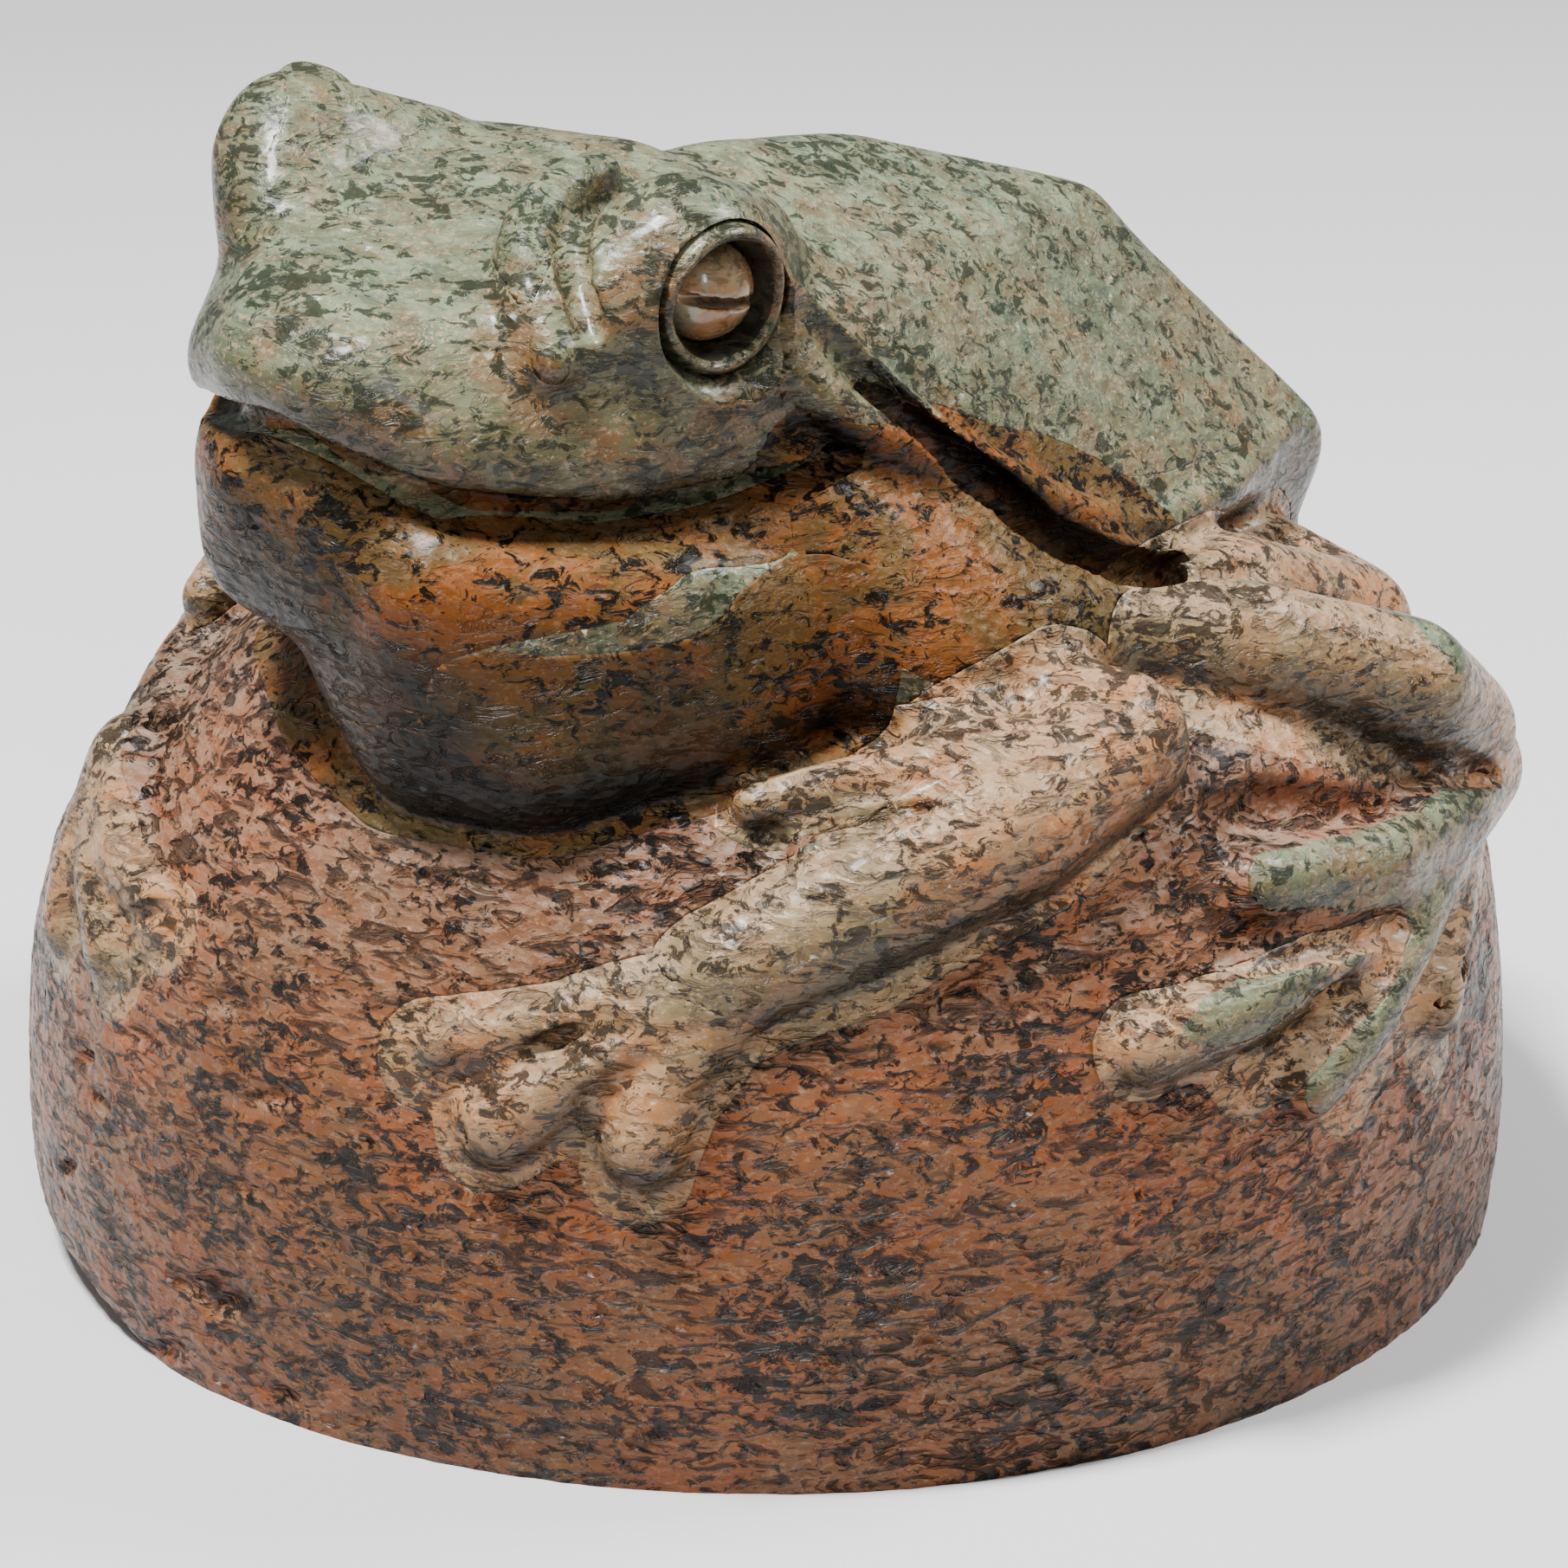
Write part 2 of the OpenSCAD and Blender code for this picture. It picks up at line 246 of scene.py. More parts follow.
folds = {
    "left": ("body", [(48, 18, 71, 8), (52, 29, 58, 9), (56, 40, 46, 9), (60, 52, 35, 9),
                      (63, 67, 25, 9), (66, 83, 15, 9), (63, 106, 7, 9), (56, 135, 7, 9),
                      (38, 176, 8, 9)]),
    "leftNeck": ("head", [(55, 13, -11, 9), (62, 19, -19, 9), (68, 29, -27, 10), (72, 41, -34, 10),
                          (78, 50, -43, 10)]),
    "right": ("body", [(-46, 24, 65, 10), (-48, 41, 51, 11), (-53, 69, 32, 11),
                       (-60, 92, 17, 11), (-58, 116, 12, 10), (-51, 143, 11, 10),
                       (-41, 165, 9, 10)]),
    "leftBrow": ("head", [(11, 14, 9, 9), (12, 4, 8, 11), (14, -5, 6, 12), (20, -15, 3, 12),
                          (28, -22, -2, 11), (38, -27, -9, 9)]),
}
hands = {
    "left": [[(42, 44, -6, 22), (30, 51, -3, 12), (21, 57, -2, 10)],
             [(42, 44, -6, 22), (32, 58, -2, 15), (26, 69, -2, 17)],
             [(42, 46, -6, 20), (38, 58, -2, 15), (36.5, 70, -2, 17)],
             [(66, 9, 15, 12), (59, 11, 10, 11), (52, 13, 6, 10), (44, 16, 3, 9)],
             [(64, 18, 6, 12), (57, 19, 3, 12), (49, 22, 1, 10)]],
    "right": [[(-29, 40, -10, 23), (-17, 47, -3, 13), (-9, 52, -3, 12)],
              [(-29, 40, -10, 23), (-20, 53, -3, 14), (-15, 63, -3, 14)],
              [(-29, 40, -10, 23), (-25, 54, -3, 15), (-24, 66, -3, 15)],
              [(-60, 12, -6, 14), (-50, 13, -5, 13), (-42, 15, -4, 11)]],
}
feet = {
    "left": [[(104, 48, -3, 16), (94, 52, -1, 15), (82, 56, 0, 15), (73, 59, 0, 14)],
             [(112, 50, -3, 16), (102, 57, -1, 14), (94, 66, 0, 14), (87, 74, 0, 13)],
             [(118, 52, -4, 15), (111, 62, -3, 13), (105, 74, -2, 13)]],
}
feet["right"] = [[(-x, y, z, thick) for x, y, z, thick in toe] for toe in feet["left"]]

# the mouth's open line, along the left side from the middle of the lips to the corner
mouthLine = [(0, -57, -28), (12, -56, -30.5), (26, -49, -34), (38, -37, -36), (48, -24, -36.5),
             (54, -11, -36), (59, 2, -34), (62, 12, -31.5), (63.5, 20, -29)]

# hollows, each a chain of balls that is cut away
hollows = {
    "underFold": ("body", [(55, 24, 65, 7), (57, 33, 54, 8), (59, 41, 44, 8),
                           (62, 50, 34, 9), (65, 61, 24, 11),
                           (71, 70, 14, 13), (75, 86, 5, 13), (72, 108, -2, 12),
                           (63, 140, -3, 10), (52, 163, -2, 8)]),
    "browGroove": ("head", [(19, 16, 15.5, 6), (20, 6, 14, 7), (22, -4, 11.5, 8), (27, -12, 8, 8),
                            (34, -18, 3, 8), (41, -22, -3, 6)]),
    "underArm": ("rock", [(80, 27, 7, 12), (74, 33, 5, 12), (66, 39, 4, 12), (54, 48, 4, 10),
                          (45, 57, 3, 7)]),
    "betweenFingers": ("rock", [(37, 53, 6, 5), (33, 62, 5, 7), (30.5, 74, 3, 8)]),
    "fingerNotch": ("rock", [(36, 47, 7, 5), (30, 53, 5, 7), (23, 61, 4, 7)]),
    "aboveArm": ("rock", [(62, 18, 14, 4), (54, 21, 7, 6)]),
    "innerFingers": ("rock", [(63, 15, 16, 4), (56, 15.5, 12, 5), (50, 17.5, 8, 5), (45, 19, 6, 4)]),
    "underShank": ("rock", [(86, 20, 10, 10), (94, 20, 11, 13), (104, 27, 11, 12),
                            (114, 34, 9, 9), (121, 41, 8, 5)]),
    "kneeHollow": ("rock", [(85, 25, 2, 10), (92, 27, 1, 12), (99, 31, 2, 10), (107, 35, 3, 8)]),
    "underFoot": ("rock", [(82, 47, 5, 7), (91, 48, 6, 8), (99, 51, 6, 7)]),
    "underToe": ("rock", [(71, 69, 3, 8), (81, 66, 4, 8), (92, 60, 5, 7)]),
    "brokenEdge": ("rock", [(-66, 139, 9, 16), (-44, 136, 6, 22), (-24, 137, 6, 20),
                            (-9, 139, 8, 16), (2, 140, 11, 12)]),
    "underThigh": ("body", [(82, 78, 10, 6), (84, 100, 6, 8), (82, 128, 2, 9), (78, 150, -2, 8)]),
}

# chips struck out of the rock's sides: how many, and their lengths, depths and heights in mm
chips = {
    "count": 150, "shortest": 7, "longest": 20, "thinnest": 3, "thickest": 6,
    "shallowest": 0.4, "deepest": 1.7, "lowest": 4, "highest": 92, "rockRadius": 144,
}

# how finely the clay is remeshed at each stage, in mm, and how often it is smoothed
clayGrain = {
    "masses": (2.2, 18), "frog": (1.6, 5), "rock": (2.2, 26), "joined": (1.5, 2),
    "grooved": (1.5, 2), "chipped": (1.4, 1), "grooveCutter": (1.2, 2), "chipCutter": (1.0, 1),
}
baseOverlap = 12    # mm that the rock's clay runs below its flat base, which is cut later

# the rock's shoulder is pressed in on the frog's right: where, how widely and how much
pressedIn = {"bearing": -52, "bearingSpread": 38, "z": 118, "zSpread": 28, "share": 0.14}


def remeshAndSmooth(obj, stage):
    size, rounds = clayGrain[stage]
    voxelRemesh(obj, size * mm)
    applyModifier(obj, 'SMOOTH', factor=0.5, iterations=rounds)


def modelClay():
    frog = joinAll([addHull(measure, balls) for measure, balls in masses.values()], "clay")
    remeshAndSmooth(frog, "masses")
    parts = [frog]
    for measure, balls in list(limbs.values()) + list(folds.values()):
        parts += addChain(measure, balls)
    for digits in list(hands.values()) + list(feet.values()):
        for digit in digits:
            parts += addChain("rock", digit)
    frog = joinAll(parts, "clay")
    remeshAndSmooth(frog, "frog")
    rock = copyOf(frame["nodes"]["boulder"], "rockClay")
    for vertex in rock.data.vertices:
        if vertex.co.z < 0.5 * mm:
            vertex.co.z -= baseOverlap * mm
    remeshAndSmooth(rock, "rock")
    for vertex in rock.data.vertices:
        bearing = math.degrees(math.atan2(vertex.co.x, -vertex.co.y))
        across = (bearing - pressedIn["bearing"]) / pressedIn["bearingSpread"]
        above = (vertex.co.z / mm - pressedIn["z"]) / pressedIn["zSpread"]
        near = math.exp(-across ** 2 - above ** 2)
        vertex.co.x *= 1 - pressedIn["share"] * near
        vertex.co.y *= 1 - pressedIn["share"] * near
    clay = joinAll([frog, rock], "clay")
    remeshAndSmooth(clay, "joined")
    return clay


def cutAway(clay, cutter):
    applyModifier(clay, 'BOOLEAN', operation='DIFFERENCE', solver='MANIFOLD', object=cutter)
    remove(cutter)


def carve(clay, cutters, stage):
    cutter = joinAll(cutters, "cutter")
    remeshAndSmooth(cutter, stage)
    cutAway(clay, cutter)


# the mouth's gap at its middle and how much it closes at a corner, and how far it reaches, in mm
mouthCut = {"gap": 9.5, "closing": 4.5, "corner": 64, "closingPower": 6, "outward": 4,
            "inward": 7, "innerShare": 0.75}


def mouthCutters():
    line = mouthLine[::-1] + [(-x, y, z) for x, y, z in mouthLine[1:]]
    cutters = []
    for index in range(len(line) - 1):
        balls = []
        for x, y, z in line[index:index + 2]:
            toCorner = abs(x) / mouthCut["corner"]
            gap = mouthCut["gap"] - mouthCut["closing"] * toCorner ** mouthCut["closingPower"]
            outward = Vector((x * 0.8, y + 8, 0)).normalized()
            ahead, behind = mouthCut["outward"], mouthCut["inward"]
            balls.append((x + outward.x * ahead, y + outward.y * ahead, z, gap))
            balls.append((x - outward.x * behind, y - outward.y * behind, z + 0.5,
                          gap * mouthCut["innerShare"]))
        cutters.append(addHull("head", balls))
    return cutters


def chipCutters():
    # shallow slanting scoops, mostly lengthways round the rock, as a point chisel leaves
    cutters = []
    for _ in range(chips["count"]):
        bearing = random.uniform(-180, 180)
        z = random.uniform(chips["lowest"], chips["highest"])
        length = random.uniform(chips["shortest"], chips["longest"])
        slope = random.uniform(-0.15, 0.55)
        thick = random.uniform(chips["thinnest"], chips["thickest"])
        sunk = random.uniform(chips["shallowest"], chips["deepest"])
        down = posture["crownZ"] - z
        half = math.degrees(length / 2 / chips["rockRadius"])
        ends = [(bearing - half, down + slope * length / 2, thick / 2 - sunk * 0.3, thick * 0.7),
                (bearing, down, thick / 2 - sunk, thick),
                (bearing + half, down - slope * length / 2, thick / 2 - sunk * 0.3, thick * 0.6)]
        cutters.append(addHull("rock", ends))
    return cutters


# the eyes: each is a ring round a deep cup, with the eyeball and its slit inside

eye = {
    "out": 51.5, "back": 1.0, "up": 0.5,    # the ring's middle, in the head's measures, mm
    "forward": 13.0,        # degrees that it looks ahead of straight sideways
    "socket": 14.6,         # radius cut out of the head
    "ring": [(13.6, -6), (13.7, -1), (13.3, 0.9), (12.4, 1.7), (11.5, 1.5), (10.9, 0.4),
             (10.4, -1.5), (9.4, -5), (8.4, -9), (12, -9.5)],
    "ball": 9.2,            # the eyeball's radius
    "ballDepth": 6.6,
    "slit": (2.1, 5.5),     # how wide and how deep
    "lidTilt": -7.0,        # degrees that the slit slopes
    "cupRadius": 11.2, "cupTop": 0.4,    # the ring's faces inside these are dark
}


def eyeMatrix(side):
    turn = Matrix.Rotation(math.radians(90 if side > 0 else -90), 4, 'Y')
    ahead = Matrix.Rotation(math.radians(-eye["forward"] * side), 4, 'Z')
    place = Matrix.Translation(Vector((eye["out"] * side, eye["back"], eye["up"])))
    return Matrix.Scale(mm, 4) @ measures["head"] @ place @ ahead @ turn


def settle(obj, matrix):
    # puts a piece that was made at the origin, in mm, into its place
    obj.data.transform(matrix)
    pick(obj)
    bpy.ops.object.mode_set(mode='EDIT')
    bpy.ops.mesh.select_all(action='SELECT')
    bpy.ops.mesh.normals_make_consistent(inside=False)
    bpy.ops.object.mode_set(mode='OBJECT')
    return obj


def spinProfile(name, profile, closed, steps=72):
    mesh = bpy.data.meshes.new(name)
    edges = [(i, i + 1) for i in range(len(profile) - 1)]
    if closed:
        edges.append((len(profile) - 1, 0))
    mesh.from_pydata([(radius, 0, z) for radius, z in profile], edges, [])
    obj = bpy.data.objects.new(name, mesh)
    bpy.context.scene.collection.objects.link(obj)
    pick(obj)
    bpy.ops.object.mode_set(mode='EDIT')
    bpy.ops.mesh.select_all(action='SELECT')
    bpy.ops.mesh.spin(steps=steps, angle=math.tau, center=(0, 0, 0), axis=(0, 0, 1))
    bpy.ops.mesh.select_all(action='SELECT')
    bpy.ops.mesh.remove_doubles(threshold=0.01)
    bpy.ops.mesh.normals_make_consistent(inside=False)
    bpy.ops.object.mode_set(mode='OBJECT')
    return obj


def socketCutter(side):
    outline = [(0, -9), (eye["socket"] - 1.2, -9), (eye["socket"], 0), (22, 14), (0, 14)]
    return settle(spinProfile("socket", outline, closed=False), eyeMatrix(side))


def addRing(side, name):
    ring = spinProfile(name, eye["ring"], closed=True)
    applyModifier(ring, 'SUBSURF', levels=2)
    for vertex in ring.data.vertices:     # hand-cut, so not quite round
        around = math.atan2(vertex.co.y, vertex.co.x)
        vertex.co.x *= 1 + 0.018 * math.sin(2 * around + 0.6)
        vertex.co.y *= 1 + 0.022 * math.sin(3 * around)
        vertex.co.z += 0.35 * math.sin(2 * around + 1.1)
    return settle(ring, eyeMatrix(side))


def addEyeball(side, name):
    bpy.ops.mesh.primitive_uv_sphere_add(segments=64, ring_count=40, radius=eye["ball"],
                                         location=(0, 0, -eye["ballDepth"]))
    ball = bpy.context.object
    ball.name = name
    bpy.ops.object.transform_apply(location=True, rotation=True, scale=True)
    wide, deep = eye["slit"]
    # the head's up direction is the cutter's -X or +X once the eye is turned sideways
    bpy.ops.mesh.primitive_cube_add(size=1, location=(0, 0, eye["ball"] - eye["ballDepth"]),
                                    scale=(wide, 40, deep * 2),
                                    rotation=(0, 0, math.radians(eye["lidTilt"] * side)))
    slit = bpy.context.object
    bpy.ops.object.transform_apply(location=True, rotation=True, scale=True)
    applyModifier(slit, 'BEVEL', width=wide * 0.45, segments=3)
    applyModifier(ball, 'BOOLEAN', operation='DIFFERENCE', solver='EXACT', object=slit)
    remove(slit)
    applyModifier(ball, 'REMESH', mode='VOXEL', voxel_size=0.35)
    applyModifier(ball, 'SMOOTH', factor=0.5, iterations=3)
    return settle(ball, eyeMatrix(side))


clay = modelClay()
print("clay massed", len(clay.data.polygons))
grooves = []
for measure, balls in hollows.values():
    grooves += addChain(measure, balls)
carve(clay, grooves, "grooveCutter")
remeshAndSmooth(clay, "grooved")
carve(clay, mouthCutters() + chipCutters(), "chipCutter")
print("mouth, grooves and chisel chips carved")
remeshAndSmooth(clay, "chipped")
for side in (1, -1):
    cutAway(clay, socketCutter(side))
print("eye sockets cut")


# uneven hand work: each kind's size in mm, and its share on the frog and on the rock
unevenness = {"waves": (16, 0.25, 0.8), "grit": (3.2, 0.12, 0.5)}
unevenDepth = 1.6    # mm where the share is 1
rockTop = 118        # mm, above which all counts as frog


def roughen(clay):
    for kind, (size, smooth, rough) in unevenness.items():
        texture = bpy.data.textures.new(kind, 'CLOUDS')
        texture.noise_scale = size * mm
        texture.noise_depth = 2
        group = clay.vertex_groups.new(name=kind)
        for vertex in clay.data.vertices:
            away = vertex.co.xy.length / mm - rockRadius(vertex.co.z / mm)
            onRock = max(0.0, min(1.0, (2.5 - away) / 3)) * (vertex.co.z < rockTop * mm)
            group.add([vertex.index], smooth + (rough - smooth) * onRock, 'REPLACE')
        applyModifier(clay, 'DISPLACE', texture=texture, texture_coords='LOCAL', mid_level=0.5,
                      strength=unevenDepth * mm, vertex_group=kind)


roughen(clay)
pick(clay)
bpy.ops.object.mode_set(mode='EDIT')
bpy.ops.mesh.select_all(action='SELECT')
bpy.ops.mesh.bisect(plane_co=(0, 0, 0), plane_no=(0, 0, 1), use_fill=True, clear_inner=True)
bpy.ops.object.mode_set(mode='OBJECT')
print("clay finished", len(clay.data.polygons))


# the granite: one speckle and one mottling, mixed differently in each part's own material

def newGroup(name, inputs, outputs):
    group = bpy.data.node_groups.new(name, 'ShaderNodeTree')
    for label, kind, value in inputs:
        socket = group.interface.new_socket(label, in_out='INPUT', socket_type=kind)
        if value is not None:
            socket.default_value = value
    for label, kind in outputs:
        group.interface.new_socket(label, in_out='OUTPUT', socket_type=kind)
    return group, group.nodes.new('NodeGroupInput'), group.nodes.new('NodeGroupOutput')


def noise(tree, vector, scale, detail=4.0, rough=0.6, distortion=0.0):
    node = tree.nodes.new('ShaderNodeTexNoise')
    node.inputs["Scale"].default_value = scale
    node.inputs["Detail"].default_value = detail
    node.inputs["Roughness"].default_value = rough
    node.inputs["Distortion"].default_value = distortion
    tree.links.new(vector, node.inputs["Vector"])
    return node.outputs["Fac"]


def ramp(tree, value, low, high, start=0.0, end=1.0):
    node = tree.nodes.new('ShaderNodeMapRange')
    node.inputs["From Min"].default_value = low
    node.inputs["From Max"].default_value = high
    node.inputs["To Min"].default_value = start
    node.inputs["To Max"].default_value = end
    tree.links.new(value, node.inputs["Value"])
    return node.outputs["Result"]


def maths(tree, operation, first, second):
    node = tree.nodes.new('ShaderNodeMath')
    node.operation = operation
    for socket, value in zip(node.inputs, (first, second)):
        if isinstance(value, (int, float)):
            socket.default_value = value
        else:
            tree.links.new(value, socket)
    return node.outputs["Value"]


def stretch(tree, vector, scale, turn=(0, 0, 0)):
    node = tree.nodes.new('ShaderNodeMapping')
    node.inputs["Scale"].default_value = scale
    node.inputs["Rotation"].default_value = [math.radians(angle) for angle in turn]
    tree.links.new(vector, node.inputs["Vector"])
    return node.outputs["Vector"]


def blend(tree, factor, first, second, kind='MIX'):
    node = tree.nodes.new('ShaderNodeMix')
    node.data_type = 'RGBA'
    node.blend_type = kind
    for socket, value in ((node.inputs[0], factor), (node.inputs[6], first), (node.inputs[7], second)):
        if isinstance(value, bpy.types.NodeSocket):
            tree.links.new(value, socket)
        elif isinstance(value, tuple):
            socket.default_value = (*value, 1.0)
        else:
            socket.default_value = value
    return node.outputs[2]


def makeSpeckle():
    # flecks and pits of the crystal grain, a little longer sideways than up
    group, given, out = newGroup("speckle", [("Vector", 'NodeSocketVector', None)],
                                 [("Dark", 'NodeSocketFloat'), ("Pale", 'NodeSocketFloat'),
                                  ("Pits", 'NodeSocketFloat'), ("Grain", 'NodeSocketFloat')])
    flat = stretch(group, given.outputs["Vector"], (1, 1, 1.7))
    coarse = noise(group, flat, 230, 5, 0.72, 0.8)
    fine = noise(group, flat, 640, 4, 0.7, 0.3)
    patch = noise(group, given.outputs["Vector"], 42, 3, 0.6)
    dark = maths(group, 'ADD', maths(group, 'MULTIPLY', coarse, 0.72),
                 maths(group, 'MULTIPLY', patch, 0.28))
    crumbs = group.nodes.new('ShaderNodeTexVoronoi')
    crumbs.inputs["Scale"].default_value = 330
    group.links.new(flat, crumbs.inputs["Vector"])
    pits = group.nodes.new('ShaderNodeTexVoronoi')
    pits.inputs["Scale"].default_value = 95
    group.links.new(stretch(group, given.outputs["Vector"], (1, 1, 1.6)), pits.inputs["Vector"])
    group.links.new(ramp(group, dark, 0.515, 0.55), out.inputs["Dark"])
    group.links.new(ramp(group, maths(group, 'SUBTRACT', fine, maths(group, 'MULTIPLY', patch, 0.15)),
                         0.48, 0.54), out.inputs["Pale"])
    small = ramp(group, pits.outputs["Distance"], 0.10, 0.24, 0.0, 1.0)
    chosen = ramp(group, noise(group, given.outputs["Vector"], 70, 2, 0.5), 0.50, 0.58, 1.0, 0.0)
    group.links.new(maths(group, 'MAXIMUM', small, chosen), out.inputs["Pits"])
    group.links.new(maths(group, 'ADD', maths(group, 'MULTIPLY', coarse, 0.5),
                         maths(group, 'MULTIPLY', crumbs.outputs["Distance"], 0.5)),
                    out.inputs["Grain"])
    return group


def makeMottle():
    # broad drifts of colour, and fine streaks that follow the polishing
    group, given, out = newGroup("mottle", [("Vector", 'NodeSocketVector', None)],
                                 [("Drift", 'NodeSocketFloat'), ("Patch", 'NodeSocketFloat'),
                                  ("Streak", 'NodeSocketFloat'), ("Chisel", 'NodeSocketFloat')])
    source = given.outputs["Vector"]
    group.links.new(ramp(group, noise(group, source, 19, 3, 0.55, 0.4), 0.42, 0.58),
                    out.inputs["Drift"])
    group.links.new(ramp(group, noise(group, source, 60, 5, 0.65, 0.8), 0.44, 0.56),
                    out.inputs["Patch"])
    drawn = stretch(group, source, (70, 150, 420), (12, 0, 40))
    group.links.new(ramp(group, noise(group, drawn, 1.0, 5, 0.65, 0.5), 0.42, 0.58),
                    out.inputs["Streak"])
    cuts = stretch(group, source, (120, 120, 330), (14, 8, 0))
    group.links.new(ramp(group, noise(group, cuts, 1.0, 4, 0.62, 1.2), 0.36, 0.48),
                    out.inputs["Chisel"])
    return group


speckle = makeSpeckle()
mottle = makeMottle()

# colours are red, green and blue amounts; the top colour and its share are painted light: a painted
# reflection of the sky and painted light from above, laid on up-facing stone; under is the brightness
# of the painted shade where the stone faces down, and shade is the range of upward facing over which
# that painted shade is reached
stones = {
    "boulderStone": {"main": (0.30, 0.075, 0.014), "second": (0.26, 0.09, 0.03),
                     "green": (0.055, 0.055, 0.025), "greenAmount": 0.4, "paintedTopLightShare": 0.7,
                     "paintedTopLight": (0.31, 0.235, 0.19),
                     "fleck": (0.008, 0.004, 0.002), "fleckAmount": 0.95, "pale": 0.22,
                     "roughness": 0.32, "coat": 0.05, "chisel": 0.8, "pits": 1.4, "bump": 2.5,
                     "under": 0.35, "gloss": 0.26, "shade": (-0.45, 0.4)},
    "backStone": {"main": (0.20, 0.098, 0.034), "second": (0.15, 0.13, 0.06),
                  "green": (0.035, 0.080, 0.048), "greenAmount": 0.6, "paintedTopLightShare": 0.7,
                  "paintedTopLight": (0.235, 0.305, 0.215),
                  "fleck": (0.010, 0.016, 0.008), "fleckAmount": 0.85, "pale": 0.45,
                  "roughness": 0.24, "coat": 0.15, "chisel": 0.2, "pits": 0.7, "bump": 1.2,
                  "under": 0.2, "gloss": 0.3, "shade": (-0.45, 0.45)},
    "jawStone": {"main": (0.25, 0.070, 0.009), "second": (0.13, 0.062, 0.013),
                 "green": (0.040, 0.045, 0.014), "greenAmount": 0.5, "paintedTopLightShare": 0.4,
                 "paintedTopLight": (0.17, 0.14, 0.085),
                 "fleck": (0.006, 0.004, 0.002), "fleckAmount": 0.98, "pale": 0.14,
                 "roughness": 0.28, "coat": 0.04, "chisel": 0.3, "pits": 0.9, "bump": 1.5,
                 "under": 0.02, "gloss": 0.16, "shade": (-0.32, 0.5)},
    "limbStone": {"main": (0.50, 0.19, 0.06), "second": (0.40, 0.22, 0.10),
                  "green": (0.085, 0.115, 0.055), "greenAmount": 0.55, "paintedTopLightShare": 0.7,
                  "paintedTopLight": (0.48, 0.34, 0.24),
                  "fleck": (0.016, 0.011, 0.006), "fleckAmount": 0.88, "pale": 0.55,
                  "roughness": 0.25, "coat": 0.10, "chisel": 0.4, "pits": 1.1, "bump": 1.7,
                  "under": 0.12, "gloss": 0.3, "shade": (-0.45, 0.4)},
    "cupStone": {"main": (0.03, 0.022, 0.012), "second": (0.05, 0.035, 0.02),
                 "green": (0.02, 0.03, 0.02), "greenAmount": 0.5, "paintedTopLightShare": 0.1,
                 "paintedTopLight": (0.06, 0.05, 0.03), "fleck": (0.006, 0.005, 0.003), "fleckAmount": 0.8,
                 "pale": 0.05, "roughness": 0.45, "coat": 0.0, "chisel": 0.3, "pits": 0.6,
                 "bump": 0.5, "under": 0.5, "gloss": 0.3, "shade": (-0.5, 0.2)},
    "eyeStone": {"main": (0.38, 0.16, 0.06), "second": (0.30, 0.26, 0.17),
                 "green": (0.10, 0.17, 0.12), "greenAmount": 0.6, "paintedTopLightShare": 0.3,
                 "paintedTopLight": (0.42, 0.22, 0.10),
                 "fleck": (0.02, 0.02, 0.012), "fleckAmount": 0.5, "pale": 0.3,
                 "roughness": 0.16, "coat": 0.50, "chisel": 0.0, "pits": 0.2, "bump": 0.2,
                 "under": 0.4, "gloss": 0.5, "shade": (-0.5, 0.2)},
}


polishedStreak = (0.70, 0.66, 0.55)
paleCrystal = (0.60, 0.40, 0.24)


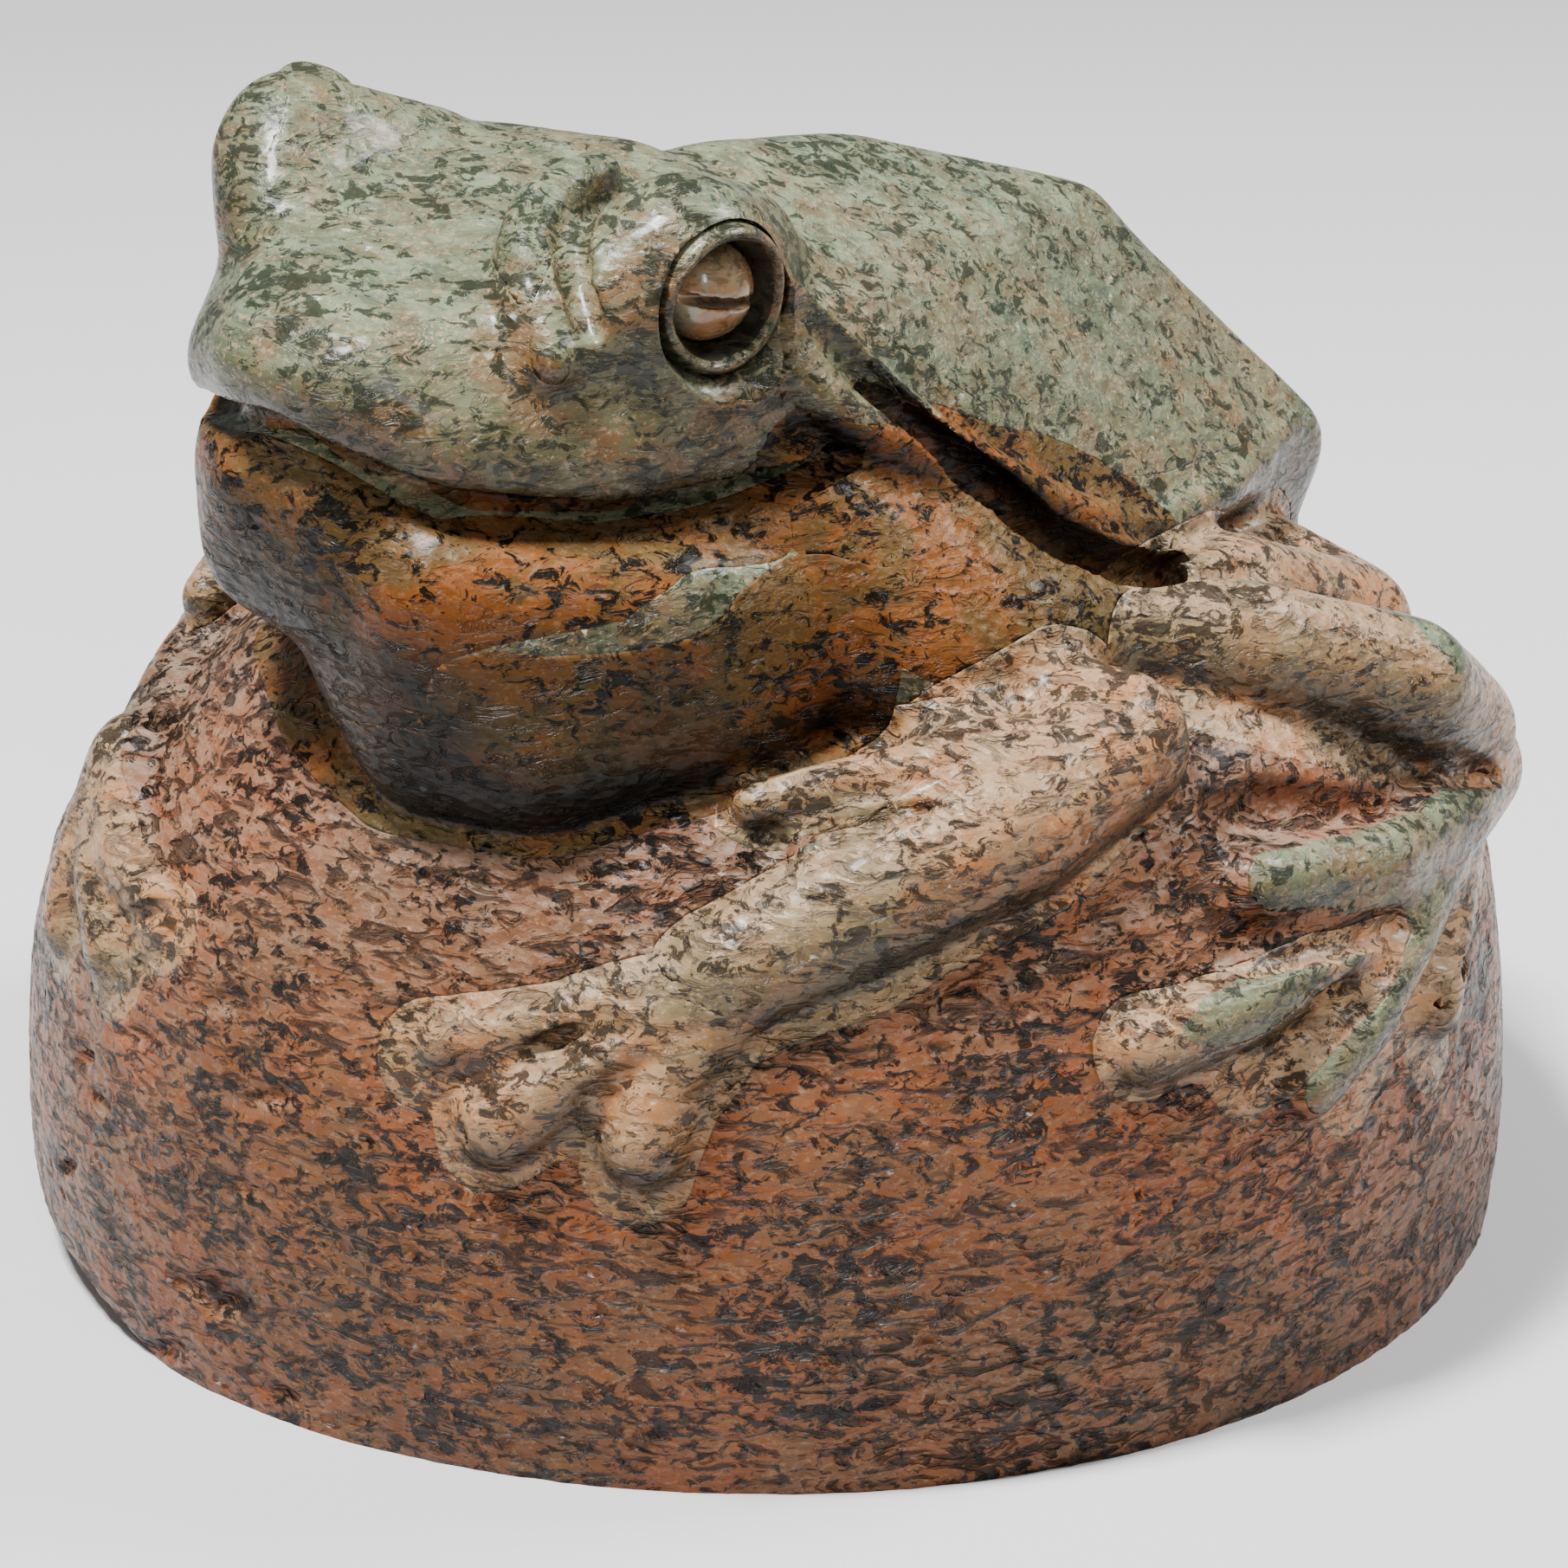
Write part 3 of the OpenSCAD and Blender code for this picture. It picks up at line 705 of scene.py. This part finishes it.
def makeStone(name, look):
    material = bpy.data.materials.new(name)
    material.use_nodes = True
    tree = material.node_tree
    shader = tree.nodes["Principled BSDF"]
    place = tree.nodes.new('ShaderNodeTexCoord')
    flecks = tree.nodes.new('ShaderNodeGroup')
    flecks.node_tree = speckle
    drifts = tree.nodes.new('ShaderNodeGroup')
    drifts.node_tree = mottle
    for node in (flecks, drifts):
        tree.links.new(place.outputs["Object"], node.inputs["Vector"])
    facing = tree.nodes.new('ShaderNodeSeparateXYZ')
    tree.links.new(place.outputs["Normal"], facing.inputs["Vector"])
    up = ramp(tree, facing.outputs["Z"], 0.15, 0.85)

    color = blend(tree, drifts.outputs["Patch"], look["main"], look["second"])
    color = blend(tree, maths(tree, 'MULTIPLY', drifts.outputs["Drift"], look["greenAmount"]),
                  color, look["green"])
    # painted top light: a painted reflection of the sky and painted light from above, laid in streaks
    # on the stone that faces upward
    streaks = ramp(tree, drifts.outputs["Streak"], 0.0, 1.0, 0.35, 1.0)
    paintedTopLightMask = maths(tree, 'MULTIPLY', maths(tree, 'MULTIPLY', up, streaks), look["paintedTopLightShare"])
    color = blend(tree, paintedTopLightMask, color, look["paintedTopLight"])
    color = blend(tree, maths(tree, 'MULTIPLY', drifts.outputs["Streak"], 0.5), color,
                  polishedStreak, 'SOFT_LIGHT')
    paleMask = maths(tree, 'MULTIPLY', flecks.outputs["Pale"], look["pale"])
    color = blend(tree, paleMask, color, paleCrystal)
    darkMask = maths(tree, 'MULTIPLY', flecks.outputs["Dark"], look["fleckAmount"])
    color = blend(tree, darkMask, color, look["fleck"])
    chiselMask = maths(tree, 'MULTIPLY', ramp(tree, drifts.outputs["Chisel"], 0.0, 1.0, 1.0, 0.0),
                       look["chisel"])
    color = blend(tree, chiselMask, color, look["fleck"])
    # painted shade: the colour is darkened towards under as the stone turns to face downward
    shade = ramp(tree, facing.outputs["Z"], *look["shade"], look["under"], 1.0)
    shaded = tree.nodes.new('ShaderNodeCombineColor')
    for channel in ("Red", "Green", "Blue"):
        tree.links.new(shade, shaded.inputs[channel])
    color = blend(tree, 1.0, color, shaded.outputs["Color"], 'MULTIPLY')
    tree.links.new(color, shader.inputs["Base Color"])

    worn = maths(tree, 'ADD', maths(tree, 'MULTIPLY', flecks.outputs["Grain"], 0.22),
                 look["roughness"] - 0.08)
    tree.links.new(maths(tree, 'ADD', worn, maths(tree, 'MULTIPLY', chiselMask, 0.25)),
                   shader.inputs["Roughness"])
    shader.inputs["Coat Weight"].default_value = look["coat"]
    shader.inputs["Coat Roughness"].default_value = 0.12
    shader.inputs["Specular IOR Level"].default_value = look["gloss"]

    height = maths(tree, 'MULTIPLY', flecks.outputs["Grain"], 0.5)
    pitted = maths(tree, 'MULTIPLY', flecks.outputs["Pits"], look["pits"])
    height = maths(tree, 'ADD', height, pitted)
    height = maths(tree, 'ADD', height,
                   maths(tree, 'MULTIPLY', drifts.outputs["Chisel"], look["chisel"] * 1.6))
    bump = tree.nodes.new('ShaderNodeBump')
    bump.inputs["Strength"].default_value = 0.9
    bump.inputs["Distance"].default_value = 0.0009 * look["bump"]
    tree.links.new(height, bump.inputs["Height"])
    tree.links.new(bump.outputs["Normal"], shader.inputs["Normal"])
    return material


materials = {name: makeStone(name, look) for name, look in stones.items()}
print("granite mixed")


# the one block is parted into its named regions, each a closed piece of its own

finishes = {"boulder_stone": "boulderStone", "back_stone": "backStone", "jaw_stone": "jawStone",
            "limb_stone": "limbStone", "eye_stone": "eyeStone"}
parting = {
    "order": ["mouth_floor", "upper_head", "lower_jaw", "throat",
              "left_hand", "right_hand", "left_inner_finger", "right_inner_finger",
              "left_forearm", "right_forearm", "left_foot", "right_foot",
              "left_shank", "right_shank", "left_thigh", "right_thigh",
              "left_shoulder", "right_shoulder", "left_fold", "right_fold", "rump", "boulder"],
    "grow": 3.5,            # mm added round each CAD region, so that it holds its carved form
    "growFor": {"mouth_floor": 0.6, "left_inner_finger": 6.0, "right_inner_finger": 6.0,
                "lower_jaw": 14.0, "throat": 10.0, "left_shoulder": 5.0, "right_shoulder": 5.0,
                "boulder": 5.0},
    "cell": 2.6,            # mm, how finely a grown region is remeshed
    "creaseAngle": 42,      # degrees, past which an edge is shaded sharp
}


def slotOf(node):
    for row in frame["record"]["subparts"]:
        if row["node"] == node:
            return row["material_slot"]


def darkenCup(ring, side):
    # the ring's faces deep inside the cup take the near-black, rougher cup stone
    ring.data.materials.append(materials["cupStone"])
    inward = eyeMatrix(side).inverted()
    for face in ring.data.polygons:
        middle = inward @ face.center
        if middle.xy.length < eye["cupRadius"] and middle.z < eye["cupTop"]:
            face.material_index = 1


def finishPiece(piece, node):
    piece.name = node + "_carved"
    piece.data.materials.clear()
    piece.data.materials.append(materials[finishes[slotOf(node)]])
    pick(piece)
    bpy.ops.object.shade_smooth_by_angle(angle=math.radians(parting["creaseAngle"]))
    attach(piece, "root")
    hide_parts(node)


def cellOf(node):
    cell = copyOf(frame["nodes"][node], "cell")
    grow = parting["growFor"].get(node, parting["grow"])
    applyModifier(cell, 'DISPLACE', strength=grow * mm, mid_level=0)
    voxelRemesh(cell, parting["cell"] * mm)
    applyModifier(cell, 'SMOOTH', factor=0.5, iterations=2)
    return cell


def part(clay, node):
    cell = cellOf(node)
    piece = clay.copy()
    piece.data = clay.data.copy()
    bpy.context.scene.collection.objects.link(piece)
    applyModifier(piece, 'BOOLEAN', operation='INTERSECT', solver='MANIFOLD', object=cell)
    applyModifier(clay, 'BOOLEAN', operation='DIFFERENCE', solver='MANIFOLD', object=cell)
    remove(cell)
    return piece


for node in parting["order"]:
    piece = part(clay, node)
    finishPiece(piece, node)
    print(node, len(piece.data.polygons))
finishPiece(clay, "back")
print("back", len(clay.data.polygons))
for side, word in ((1, "left"), (-1, "right")):
    ring = addRing(side, "ring")
    finishPiece(ring, word + "_eye_rim")
    darkenCup(ring, side)
    finishPiece(addEyeball(side, "ball"), word + "_eyeball")


# floor and light

studio = {
    "floor": (0.90, 0.90, 0.90),
    "sky": 0.16,
    "lights": (("keyLight", (-0.20, -0.62, 1.9), (0.35, 0.35), 72),
               ("stripLight", (-0.9, -1.5, 1.0), (0.12, 0.9), 2),
               ("rightLight", (1.3, -0.9, 1.2), (0.12, 0.5), 4),
               ("backLight", (0.6, 1.1, 1.5), (0.5, 0.5), 28)),
}


def addStudio():
    bpy.ops.mesh.primitive_plane_add(size=6.0, location=(0, 0, 0))
    floor = bpy.context.object
    floor.name = "floor"
    material = bpy.data.materials.new("paleFloor")
    material.use_nodes = True
    shader = material.node_tree.nodes["Principled BSDF"]
    shader.inputs["Base Color"].default_value = (*studio["floor"], 1)
    shader.inputs["Roughness"].default_value = 0.7
    floor.data.materials.append(material)
    for name, place, size, power in studio["lights"]:
        aim = (Vector(place) - Vector((0, 0, 0.12))).to_track_quat('Z', 'Y').to_euler()
        bpy.ops.object.light_add(type='AREA', location=place, rotation=aim)
        light = bpy.context.object
        light.name = name
        light.data.shape = 'RECTANGLE'
        light.data.size, light.data.size_y = size
        light.data.energy = power
    world = bpy.data.worlds.new("studio")
    bpy.context.scene.world = world
    world.use_nodes = True
    world.node_tree.nodes["Background"].inputs["Color"].default_value = (0.95, 0.97, 1.0, 1)
    world.node_tree.nodes["Background"].inputs["Strength"].default_value = studio["sky"]


addStudio()
